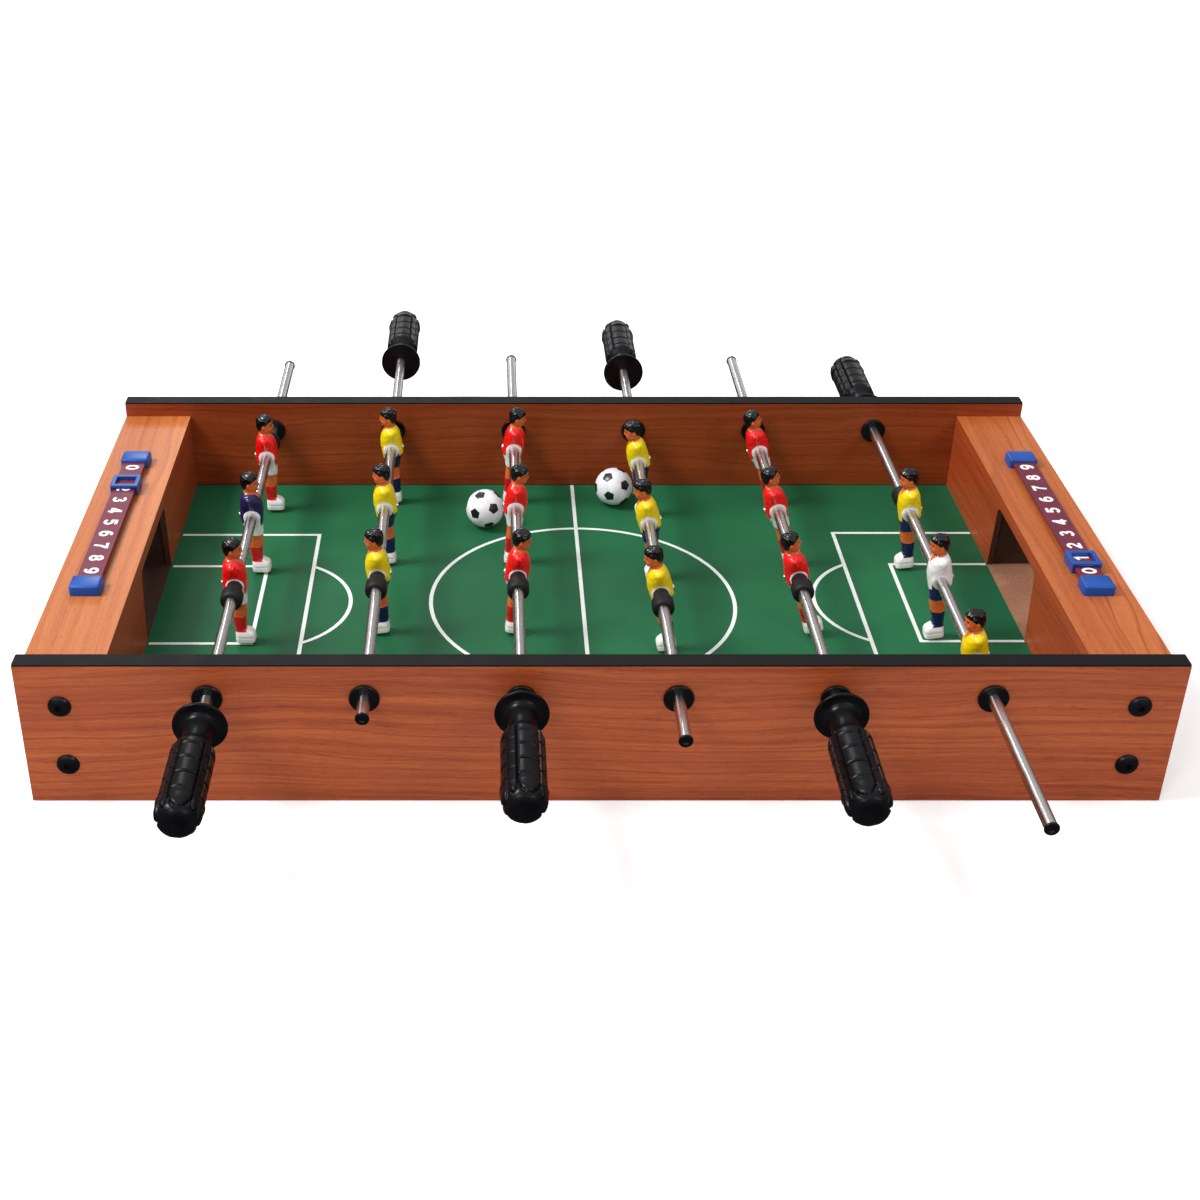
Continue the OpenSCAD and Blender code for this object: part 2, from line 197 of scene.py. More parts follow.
def wood(name, grain, across, colours, shift=0.0, density=1.0, veins=0.6, swirl=4, edge=None, upright=None):
    """Printed wood laminate.

    grain is the axis that the grain follows, and across the axes that cross it. edge is the pair of dark colours
    of the faces that do not face along X, and upright the colours of the faces that stand upright.
    """
    g = Graph(name, IOR=1.40)
    axes = g.split(g.place())
    along = g.math("ADD", axes[grain], shift)
    cross = axes[across[0]]
    for a in across[1:]:
        cross = g.math("ADD", cross, g.math("MULTIPLY", axes[a], 1.37))
    cross = g.math("ADD", cross, shift * 0.37)

    def streaks(per_along, over, per_over, seed, detail, rough):
        """Noise with its own scale along the grain and over it."""
        return g.noise(g.join(g.math("MULTIPLY", along, per_along), g.math("MULTIPLY", over, per_over), seed),
                       1, detail, rough)

    # slow waves that the figure follows
    slow = streaks(3.2, cross, 9.0, 0.3, 2, 0.5)
    quick = streaks(14.0, cross, 26.0, 1.7, 2, 0.5)
    bent = g.math("ADD", cross, g.math("MULTIPLY", g.math("SUBTRACT", slow, 0.5), 0.034))
    bent = g.math("ADD", bent, g.math("MULTIPLY", g.math("SUBTRACT", quick, 0.5), 0.0035))
    # broad bands, growth lines and fibres
    bands = streaks(1.1, bent, 48 * density, 0, 3, 0.55)
    lines = streaks(2.6, bent, 330 * density, 4, 4, 0.62)
    fibre = streaks(45, bent, 1500, 8, 3, 0.6)
    pores = streaks(130, bent, 2300, 2, 2, 0.6)
    tone = g.weigh((bands, 0.36), (lines, 0.38), (fibre, 0.26))
    marks = (0.34, 0.46, 0.55, 0.68)
    base = g.ramp(tone, tuple(zip(marks, colours)))
    dark = colours[0]
    if upright:
        level = g.math("ABSOLUTE", g.split(g.add("NewGeometry").outputs["True Normal"])[2])
        base = g.mix(g.math("LESS_THAN", level, 0.5), base, g.ramp(tone, tuple(zip(marks, upright))))
    # thin lines at even steps of a wavy height field; where it is flat they close into cathedrals
    waves = streaks(3.4, cross, 17 * density, 6.5, 2, 0.45)
    steps = g.weigh((bent, 130 * density), (waves, swirl))
    ridge = g.math("SINE", g.math("MULTIPLY", steps, 2 * math.pi))
    vein = g.math("MULTIPLY", g.span(ridge, 0.70, 1.0), g.span(lines, 0.32, 0.56))
    vein = g.math("MULTIPLY", vein, g.span(bands, 0.36, 0.60, 0.2, 1.0))
    base = g.mix(g.math("MULTIPLY", vein, veins), base, lin(dark))
    speck = g.math("MULTIPLY", g.span(pores, 0.57, 0.68), 0.42)
    base = g.mix(speck, base, lin(dark), "MULTIPLY")
    rough = g.span(fibre, 0.3, 0.7, 0.36, 0.47)
    if edge:
        facing = g.math("ABSOLUTE", g.split(g.add("NewGeometry").outputs["True Normal"])[0])
        cut_noise = g.noise(g.vector("MULTIPLY", g.place(), (1500, 500, 500)), 1, 3, 0.6)
        cut = g.math("LESS_THAN", facing, 0.5)
        base = g.mix(cut, base, g.mix(cut_noise, lin(edge[0]), lin(edge[1])))
        rough = g.math("ADD", rough, g.math("MULTIPLY", cut, 0.4))
    g.set(Base_Color=base, Roughness=rough)
    g.bump(g.math("SUBTRACT", fibre, g.math("MULTIPLY", pores, 0.8)), 0.00006, 0.6)
    return g.mat


def board(name, colours, left=None):
    """Raw pressed board with short fibres; left is a darker tint of painted shade for the left half of the table,
    where the goal floor lies in shade.
    """
    g = Graph(name)
    p = g.place()
    fine = g.noise(p, 1500, 4, 0.65)
    flakes = g.noise(g.vector("MULTIPLY", p, (900, 650, 900)), 1, 3, 0.6, 0.4)
    cloud = g.noise(p, 26, 3, 0.5)
    tone = g.weigh((fine, 0.40), (flakes, 0.35), (cloud, 0.25))
    base = g.ramp(tone, ((0.36, colours[0]), (0.5, colours[1]), (0.64, colours[2])))
    # painted shade: the colour is multiplied by the left tint where x < 0
    if left:
        base = g.mix(g.math("LESS_THAN", g.split(p)[0], 0), base, left, "MULTIPLY")
    g.set(Base_Color=base, Roughness=g.span(cloud, 0.3, 0.7, 0.78, 0.9))
    g.bump(tone, 0.00015, 0.7)
    return g.mat


def plastic(name, colour, rough=(0.3, 0.42), grain=420, depth=0.00004, vary=0.25, ior=1.5):
    """Moulded plastic: slight mottling and a fine surface grain."""
    g = Graph(name, IOR=ior)
    p = g.place()
    cloud = g.noise(p, 60, 3, 0.5)
    fine = g.noise(p, grain * 4, 2, 0.5)
    g.set(Base_Color=g.mottle(cloud, colour, vary), Roughness=g.span(cloud, 0.3, 0.7, *rough))
    g.bump(fine, depth, 0.5)
    return g.mat


def chrome(name, colour, rough, stretch=(90, 90, 2)):
    """Bright metal with drawing marks along its length."""
    g = Graph(name, Metallic=1.0, Anisotropic=0.9, Anisotropic_Rotation=0.25)
    g.set(Tangent=g.add("Tangent", direction_type="RADIAL", axis="Z").outputs[0])
    p = g.place()
    marks = g.noise(g.vector("MULTIPLY", p, tuple(30 * s for s in stretch)), 1, 3, 0.6)
    cloud = g.noise(p, 35, 3, 0.5)
    dark = tuple(c * 0.86 for c in lin(colour)[:3]) + (1,)
    g.set(Base_Color=g.mix(g.span(marks, 0.35, 0.65), dark, lin(colour)),
          Roughness=g.span(cloud, 0.3, 0.7, rough * 0.8, rough * 1.25))
    g.bump(marks, 0.00001, 0.06)
    return g.mat


CHERRY = ("#7a2b0f", "#9b441d", "#aa5224", "#b9642f")
# painted shade: a darker copy of CHERRY for the back panel, whose inner face stands in shade
CHERRY_BACK_SHADED = ("#7c2c10", "#953f19", "#a04920", "#ad5527")
CHERRY_TOP = ("#96471f", "#b0612f", "#bb6d39", "#c87e46")
CHERRY_RIGHT = ("#93411b", "#ac5828", "#b86533", "#c57540")
CHERRY_IN = ("#862f12", "#a3431e", "#af4c25", "#bc592e")

wood_panel = wood("wood_panel", 0, (2, 1), CHERRY)
# the back panel takes the darker copy, painted shade for its inner face
wood_back_shaded = wood("wood_panel_back_shaded", 0, (2, 1), CHERRY_BACK_SHADED, shift=1.7)
wood_goal = wood("wood_goal", 1, (2, 0), CHERRY_IN, shift=0.6, density=0.8, edge=("#3a2013", "#59351f"))
wood_outer = wood("wood_outer", 1, (2, 0), CHERRY, shift=2.9)
wood_top_l = wood("wood_top_left", 1, (0, 2), CHERRY_TOP, shift=0.2, density=0.8, veins=0.45, upright=CHERRY_IN)
wood_top_r = wood("wood_top_right", 1, (0, 2), CHERRY_RIGHT, shift=3.3, density=0.7, veins=0.75, swirl=9,
                  upright=CHERRY_IN)
# the left tint is painted shade on the left goal's floor
raw_board = board("raw_board", ("#7c5039", "#9e6d52", "#b2876a"), lin("#6a5b56"))
# painted shade: a very dark copy of the pressed board, for the goal walls that stand in shade
shaded_board = board("shaded_board", ("#26140c", "#38200f", "#4a2d1b"))
pale_board = board("pale_board", ("#a08058", "#c3a47c", "#d8be98"))
edge_black = plastic("edge_black", "#0b080b", (0.56, 0.68), grain=500, vary=0.16, ior=1.3)
bolt_black = plastic("bolt_black", "#0b0a0e", (0.26, 0.38), grain=300, vary=0.2, ior=1.38)
black_plastic = plastic("black_plastic", "#0a090c", (0.26, 0.38), grain=350, vary=0.2, ior=1.36)
black_rubber = plastic("black_rubber", "#0c0b0e", (0.5, 0.66), grain=260, depth=0.00012, vary=0.25, ior=1.42)
rod_steel = chrome("rod_steel", "#dad6d6", 0.24)
screw_steel = chrome("screw_steel", "#dedcde", 0.25, (60, 60, 60))
strip_red = plastic("score_strip", "#681a32", (0.42, 0.55), grain=500, depth=0.00003, vary=0.12)
digit_white = plastic("digit_white", "#efedee", (0.4, 0.5), vary=0.03)
blue_plastic = plastic("score_blue", "#0d4a9c", (0.30, 0.40), grain=300, vary=0.10, ior=1.42)


def pitch_material():
    """Green printed board with painted shade: a thin dark strip along the long panels, where they meet the field."""
    g = Graph("pitch", IOR=1.3)
    p = g.place()
    y = g.split(p)[1]
    cloud = g.noise(p, 7, 3, 0.5)
    fine = g.noise(p, 1300, 3, 0.6)
    tone = g.weigh((cloud, 0.6), (fine, 0.4))
    green = g.ramp(tone, ((0.34, "#145030"), (0.5, "#195c39"), (0.66, "#1f6842")))
    # painted shade: the green turns near black within about 1.6 mm of each long wall
    wall_distance = g.math("SUBTRACT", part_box("playfield")[1].y, g.math("ABSOLUTE", y))
    green = g.mix(g.span(wall_distance, 0.0010, 0.0016), lin("#0b1a12"), green)
    g.set(Base_Color=green, Roughness=g.span(cloud, 0.3, 0.7, 0.55, 0.65))
    g.bump(fine, 0.00005, 0.5)
    return g.mat


line_white = plastic("line_white", "#e4e8e4", (0.42, 0.52), vary=0.03)


def dress(node, mat):
    """Gives a CAD node one material."""
    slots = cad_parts[node].material_slots
    if not slots:
        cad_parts[node].data.materials.append(mat)
    for s in slots:
        s.material = mat


for node, mat in (("panel_front", wood_panel), ("panel_back", wood_back_shaded),
                  ("goal_board_left", wood_goal), ("goal_board_right", wood_goal),
                  ("end_boards_outer", wood_outer), ("end_top_left", wood_top_l), ("end_top_right", wood_top_r),
                  ("goal_walls", shaded_board), ("end_floors", raw_board), ("corner_blocks", pale_board),
                  ("battens", pale_board), ("edge_bands", edge_black), ("cabinet_screws", bolt_black),
                  ("bushing_sleeves", black_plastic), ("bushing_rings", black_plastic),
                  ("playfield", pitch_material()), ("score_strips", strip_red),
                  ("marker_left", blue_plastic), ("marker_right", blue_plastic)):
    dress(node, mat)
for n in RODS:
    dress(f"player_screws_{n}", screw_steel)


def soften(node, width, angle=35):
    """Rounds a CAD node's sharp edges with modifiers; its own mesh stays as it is."""
    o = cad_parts[node]
    weld = o.modifiers.new("weld", "WELD")
    weld.merge_threshold = 0.000002
    bevel = o.modifiers.new("bevel", "BEVEL")
    bevel.width, bevel.segments = width, 3
    bevel.limit_method, bevel.angle_limit = "ANGLE", math.radians(angle)
    bevel.harden_normals = False


for node in ("marker_left", "marker_right"):
    soften(node, 0.0007)
soften("score_strips", 0.0002)
soften("edge_bands", 0.0004)
for node in ("end_top_left", "end_top_right", "goal_board_left", "goal_board_right"):
    soften(node, 0.0003)


# ---------- mesh tools ----------

def make(name, verts, faces, mats, smooth=True, sharp=None):
    mesh = bpy.data.meshes.new(name)
    mesh.from_pydata([tuple(v) for v in verts], [], faces)
    mesh.validate()
    for m in mats:
        mesh.materials.append(m)
    mesh.polygons.foreach_set("use_smooth", [smooth] * len(mesh.polygons))
    if sharp:
        mesh.set_sharp_from_angle(angle=math.radians(sharp))
    return mesh


def to_mesh(bm, name):
    """The bmesh as a new mesh; the bmesh is freed."""
    mesh = bpy.data.meshes.new(name)
    bm.to_mesh(mesh)
    bm.free()
    return mesh


def cylinder(bm, radius, depth, segments, matrix):
    bmesh.ops.create_cone(bm, cap_ends=True, segments=segments, radius1=radius, radius2=radius, depth=depth,
                          matrix=matrix)


def zones(mesh, values):
    """Stores signed distances in millimetres on the points, for Graph.mask."""
    for name, value in values.items():
        layer = mesh.attributes.new("z_" + name, "FLOAT", "POINT")
        layer.data.foreach_set("value", np.clip(value, -5, 5).astype(np.float32))


def vectors(mesh, key):
    """An array of the mesh's points (co) or point normals (normal)."""
    out = np.zeros(len(mesh.vertices) * 3)
    mesh.vertices.foreach_get(key, out)
    return out.reshape(-1, 3)


def applied(o):
    """The object with its modifiers applied to its mesh."""
    dg = bpy.context.evaluated_depsgraph_get()
    mesh = bpy.data.meshes.new_from_object(o.evaluated_get(dg))
    out = bpy.data.objects.new(o.name + "_made", mesh)
    bpy.data.objects.remove(o)
    scene.collection.objects.link(out)
    return out


def cut_away(o, meshes, overlap=False):
    """The object's mesh less other meshes; overlap if its own shells run into each other."""
    tools = []
    for mesh in meshes:
        tool = bpy.data.objects.new(mesh.name, mesh)
        scene.collection.objects.link(tool)
        cut = o.modifiers.new("cut", "BOOLEAN")
        cut.operation, cut.object, cut.solver, cut.use_self = "DIFFERENCE", tool, "EXACT", overlap
        tools.append(tool)
    o = applied(o)
    for tool in tools:
        bpy.data.objects.remove(tool)
    mesh = o.data
    bpy.data.objects.remove(o)
    return mesh


def piece(name, mesh, body, matrix=Matrix.Identity(4), nodes=()):
    o = bpy.data.objects.new(name, mesh)
    scene.collection.objects.link(o)
    o.matrix_world = matrix
    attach(o, body)
    if nodes:
        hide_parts(*nodes)
    return o


def round_off(points, steps=5):
    """Outline of (radius, height, rounding) points with each corner turned into a curve."""
    out = []
    for i, (r, z, rad) in enumerate(points):
        if rad <= 0 or i in (0, len(points) - 1):
            out.append((r, z))
            continue
        p = Vector((r, z))
        a, b = Vector(points[i - 1][:2]) - p, Vector(points[i + 1][:2]) - p
        p0 = p + a.normalized() * min(rad, a.length / 2)
        p1 = p + b.normalized() * min(rad, b.length / 2)
        for k in range(steps + 1):
            t = k / steps
            out.append(tuple((1 - t) ** 2 * p0 + 2 * t * (1 - t) * p + t * t * p1))
    return out


def turned(name, outline, mats, n=64, closed=True, sharp=40):
    """Body of revolution about +Z. The outline is a closed run of (radius, height) in millimetres."""
    verts, faces, rings = [], [], []
    for r, z in outline:
        if r < 1e-6:
            rings.append([len(verts)])
            verts.append((0, 0, z * MM))
        else:
            rings.append(list(range(len(verts), len(verts) + n)))
            verts += [(r * MM * math.cos(2 * math.pi * k / n), r * MM * math.sin(2 * math.pi * k / n), z * MM)
                      for k in range(n)]
    pairs = list(zip(rings, rings[1:] + rings[:1] if closed else rings[1:]))
    for a, b in pairs:
        for k in range(n):
            j = (k + 1) % n
            if len(a) == 1 and len(b) == 1:
                break
            if len(a) == 1:
                faces.append((a[0], b[j], b[k]))
            elif len(b) == 1:
                faces.append((a[k], a[j], b[0]))
            else:
                faces.append((a[k], a[j], b[j], b[k]))
    mesh = make(name, verts, faces, mats, True)
    bm = bmesh.new()
    bm.from_mesh(mesh)
    bmesh.ops.recalc_face_normals(bm, faces=bm.faces)
    bm.to_mesh(mesh)
    bm.free()
    if sharp:
        mesh.set_sharp_from_angle(angle=math.radians(sharp))
    return mesh


def rod_frame(n):
    """Origin on the rod's axis at its middle player, in metres."""
    lo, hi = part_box(f"bumpers_{n}")
    return Vector(((lo.x + hi.x) / 2, (lo.y + hi.y) / 2, (lo.z + hi.z) / 2))


def along_y(s):
    """Turns +Z to +Y (s=1) or -Y (s=-1)."""
    return Matrix.Rotation(math.radians(-90 * s), 4, "X")


# ---------- rods and their end plugs ----------

plug_mesh = turned("plug", round_off([
    (0, 0.7, 0), (1.5, 0.7, 0.2), (2.1, 0.1, 0.5), (2.6, 0, 0.3), (3.9, 0, 0.4), (4.3, 0.45, 0.5), (4.3, 1.2, 0.3),
    (4.05, 1.5, 0.2), (2.7, 1.5, 0.1), (2.65, 9.6, 0.3), (2.2, 10, 0.2), (0, 10, 0)]), [black_plastic], 64)
for n in RODS:
    lo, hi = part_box(f"rod_{n}")
    s = -1 if n in RED else 1
    length = (hi.y - lo.y) / MM
    tube = turned("rod", [(2.75, 0), (3.62, 0), (3.75, 0.13), (3.75, length - 0.13), (3.62, length), (2.75, length)],
                  [rod_steel], 96)
    mid = (lo + hi) / 2
    piece(f"rod_{n}_tube", tube, f"spin_{n}", Matrix.Translation((mid.x, lo.y, mid.z)) @ along_y(1),
          [f"rod_{n}"])
    lo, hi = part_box(f"end_cap_{n}")
    m = Matrix.Translation((mid.x, hi.y if s < 0 else lo.y, mid.z)) @ along_y(s)
    piece(f"end_plug_{n}", plug_mesh, f"spin_{n}", m, [f"end_cap_{n}"])


# ---------- handles ----------

def handle_mesh():
    """Grip with wide and narrow bands of raised blocks, round the axis +Z, from the flange to the domed end."""
    length, flange, bore = 94.0, 16.2, 76.0       # mm; flange is a radius and bore a depth
    outline = [(ROD_R, 0), (flange - 0.5, 0), (flange - 0.15, 0.15), (flange, 0.6), (flange, 1.4),
               (flange - 0.25, 1.9), (flange - 0.8, 2.15), (14.0, 2.2), (12.4, 2.4), (11.0, 2.9), (9.9, 3.8),
               (9.2, 5.2), (8.8, 7.2), (8.6, 10), (8.5, 14), (8.65, 17.5), (9.1, 20.5), (10.0, 23), (11.2, 25.2),
               (12.0, 27), (12.3, 29), (12.4, 32)]
    outline += [(12.4, z) for z in np.arange(33, 77, 0.5)]
    outline += [(12.45, 79), (12.45, 82), (12.4, 84), (12.25, 85.6), (12.0, 87.0), (11.6, 88.3), (11.0, 89.6),
                (10.2, 90.8), (9.1, 91.8), (7.6, 92.7), (5.6, 93.4), (3.0, 93.85), (0, 94)]
    # resample the outer skin evenly
    pts = np.array(outline)
    seg = np.hypot(*np.diff(pts, axis=0).T)
    s = np.concatenate([[0], np.cumsum(seg)])
    m, n = 380, 168                               # rings along the grip, points round it
    t = np.linspace(0, s[-1], m)
    rr, zz = np.interp(t, s, pts[:, 0]), np.interp(t, s, pts[:, 1])
    th = np.arange(n) / n * 2 * math.pi
    Z, T = np.meshgrid(zz, th, indexing="ij")
    R = np.meshgrid(rr, th, indexing="ij")[0].copy()
    # bands: wide ones centred on 0, 90, ... and narrow ones between them
    deg = np.degrees(T)
    wide = np.abs((deg + 45) % 90 - 45)           # degrees from the nearest wide band's centre
    slim = np.abs(deg % 90 - 45)                  # degrees from the nearest narrow band's centre
    W, S = 32.0, 45 - 32.0                        # half-widths in degrees
    body = smoothstep(Z, 24.5, 29.5)
    seam_mm = np.abs(wide - W) / 180 * math.pi * 12.6
    is_wide = wide < W
    # long grooves between the bands
    dip = -1.3 * (1 - smoothstep(seam_mm, 0.2, 0.95)) * body * (1 - smoothstep(Z, 80, 86))
    # each block is a low pillow, cut off from the next by a cross groove
    cuts_w, cuts_s = (21.1, 34.1, 47.1, 60.9, 74.9), (27.6, 40.6, 54.0, 67.9, 81.0)
    near_w = np.min([np.abs(Z - c) for c in cuts_w], axis=0)
    near_s = np.min([np.abs(Z - c) for c in cuts_s], axis=0)
    near = np.where(is_wide, near_w, near_s)
    block = smoothstep(near, 0.12, 0.62) - 1
    pillow = np.where(is_wide, 0.55 * (1 - (wide / W) ** 4), 0.30 * (1 - (slim / S) ** 4))
    pillow = pillow * smoothstep(near, 0.3, 1.8)
    R += dip + (np.where(is_wide, 1.25, 1.0) * block + pillow) * body * (1 - smoothstep(Z, 76, 80) * is_wide) \
        * (1 - smoothstep(Z, 80, 83))
    # the bands end in round noses on the dome, each with a groove round it
    for across, half, z_in, z_mid, reach in ((wide, 29.0, 75.1, 80.0, 9.4), (slim, 11.0, 81.2, 83.0, 5.2)):
        e = np.hypot(across / half, np.clip(Z - z_mid, 0, None) / reach)
        groove = 1.1 * np.exp(-((e - 1.06) / 0.10) ** 2) * smoothstep(Z, z_mid - 1, z_mid + 4)
        R += smoothstep(Z, z_in, z_in + 1.2) * 0.8 * np.clip(1 - e ** 2, 0, 1) ** 0.5 - groove
    X, Y = R * np.cos(T), R * np.sin(T)
    verts = [tuple(v) for v in (np.stack([X, Y, Z], -1).reshape(-1, 3) * MM)]
    faces = [(i * n + k, i * n + (k + 1) % n, (i + 1) * n + (k + 1) % n, (i + 1) * n + k)
             for i in range(m - 2) for k in range(n)]
    verts = verts[:(m - 1) * n]
    tip = len(verts)
    verts.append((0, 0, length * MM))
    faces += [((m - 2) * n + k, (m - 2) * n + (k + 1) % n, tip) for k in range(n)]
    # bore for the rod
    b0 = len(verts)
    for z in (0, bore):
        verts += [(ROD_R * MM * math.cos(a), ROD_R * MM * math.sin(a), z * MM) for a in th]
    verts.append((0, 0, bore * MM))
    for k in range(n):
        j = (k + 1) % n
        faces.append((b0 + n + k, b0 + n + j, b0 + j, b0 + k))
        faces.append((b0 + n + j, b0 + n + k, b0 + 2 * n))
        faces.append((k, b0 + k, b0 + j, j))
    mesh = make("handle", verts, faces, [])
    bm = bmesh.new()
    bm.from_mesh(mesh)
    bmesh.ops.remove_doubles(bm, verts=bm.verts, dist=1e-6)
    bmesh.ops.recalc_face_normals(bm, faces=bm.faces)
    for f in bm.faces:
        f.smooth = True
    bm.to_mesh(mesh)
    bm.free()
    mesh.set_sharp_from_angle(angle=math.radians(50))
    return mesh


def handle_material():
    g = Graph("handle_plastic", IOR=1.45, Specular_IOR_Level=0.2)
    p = g.place()
    x, y, z = g.split(p)
    turn = g.math("ARCTAN2", y, x)
    ribs = g.math("SINE", g.math("MULTIPLY", turn, 84))
    bandw = g.math("ABSOLUTE", g.math("SUBTRACT", g.math("MODULO", g.math("ADD", turn, 10 * math.pi + math.pi / 4),
                                                        math.pi / 2), math.pi / 4))
    on_block = g.math("MULTIPLY", g.math("LESS_THAN", bandw, math.radians(27)),
                      g.math("MULTIPLY", g.math("GREATER_THAN", z, 0.0285), g.math("LESS_THAN", z, 0.0735)))
    cloud = g.noise(p, 70, 3, 0.5)
    fine = g.noise(p, 1400, 2, 0.5)
    g.set(Base_Color=g.mix(g.span(cloud, 0.35, 0.65), lin("#060608"), lin("#0d0c10")),
          Roughness=g.span(cloud, 0.3, 0.7, 0.27, 0.37))
    first = g.bump(fine, 0.00006, 0.5)
    g.bump(g.math("MULTIPLY", ribs, on_block), 0.000016, 0.5, after=first)
    return g.mat


BAND = {1: 8, 3: 13, 5: -17}                      # degrees that the upper band leans to +X
grip_mesh = handle_mesh()
grip_mesh.materials.append(handle_material())
for n in RODS:
    at, s = rod_frame(n), (-1 if n in RED else 1)
    lo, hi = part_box(f"handle_{n}")
    start = lo.y if s > 0 else hi.y
    # a wide band is about uppermost at rest
    up = Matrix.Rotation(math.radians(90 - BAND.get(n, 0)), 4, "Z")
    m = Matrix.Translation((at.x, start, at.z)) @ along_y(s) @ up
    piece(f"handle_{n}_grip", grip_mesh, f"spin_{n}", m, [f"handle_{n}"])


# ---------- bumpers and bushings ----------

bumper_mesh = turned("bumper", round_off([
    (3.82, 0, 0), (4.9, 0, 0.4), (5.25, 0.5, 0.5), (5.25, 6.6, 1.5), (6.0, 8.2, 1.5), (7.1, 9.4, 0.9),
    (7.25, 10.6, 0.5), (7.25, 18.4, 1.4), (6.2, 19.9, 0.9), (4.6, 20.2, 0.5), (3.82, 20.1, 0)]),
    [black_rubber], 72)
for n in RODS:
    at = rod_frame(n)
    for s, side in ((-1, "front"), (1, "back")):
        m = Matrix.Translation(at + Vector((0, s * (PLAYER_PITCH + HUB_HALF + 0.3) * MM, 0))) @ along_y(s)
        piece(f"bumper_{n}_{side}", bumper_mesh, f"slider_{n}", m, [f"bumpers_{n}"])


# ---------- players ----------

def section(z, x0, x1, w, p, n=40):
    """Closed curve in the plane at height z: a superellipse from x0 to x1, half-width w along Y, power p."""
    c, a = (x0 + x1) / 2, (x1 - x0) / 2
    out = []
    for k in range(n):
        t = 2 * math.pi * k / n
        ct, st = math.cos(t), math.sin(t)
        out.append((c + a * math.copysign(abs(ct) ** (2 / p), ct), w * math.copysign(abs(st) ** (2 / p), st), z))
    return out


def loft(bm, sections):
    """Closed skin through sections, from the lowest to the highest."""
    rows = [[bm.verts.new(v) for v in section(*values)] for values in sections]
    n = len(rows[0])
    for a, b in zip(rows, rows[1:]):
        for k in range(n):
            bm.faces.new((a[k], a[(k + 1) % n], b[(k + 1) % n], b[k]))
    bm.faces.new(list(reversed(rows[0])))
    bm.faces.new(rows[-1])


def blob(bm, at, size, turn=0.0):
    m = Matrix.Translation(at) @ Matrix.Rotation(math.radians(turn), 4, "Y") @ Matrix.Diagonal((*size, 1))
    bmesh.ops.create_uvsphere(bm, u_segments=24, v_segments=16, radius=1, matrix=m)


def limb(bm, points):
    """Tube through (x, y, z, radius) points with round ends."""
    for x, y, z, r in points:
        blob(bm, (x, y, z), (r, r, r))
    for a, b in zip(points, points[1:]):
        pa, pb = Vector(a[:3]), Vector(b[:3])
        d = pb - pa
        q = d.to_track_quat("Z", "Y").to_matrix().to_4x4()
        m = Matrix.Translation((pa + pb) / 2) @ q
        bmesh.ops.create_cone(bm, cap_ends=True, segments=24, radius1=a[3], radius2=b[3], depth=d.length,
                              matrix=m)


def hair_line(x):
    """Height of the hair's lower edge on the side of the head."""
    return np.interp(x, [-6.5, -4.4, -3.0, -2.2, -1.2, 0.2, 1.4, 3.0, 4.6, 6.5],
                     [20.2, 20.4, 22.2, 25.2, 26.4, 25.6, 27.2, 28.0, 28.6, 29.0])


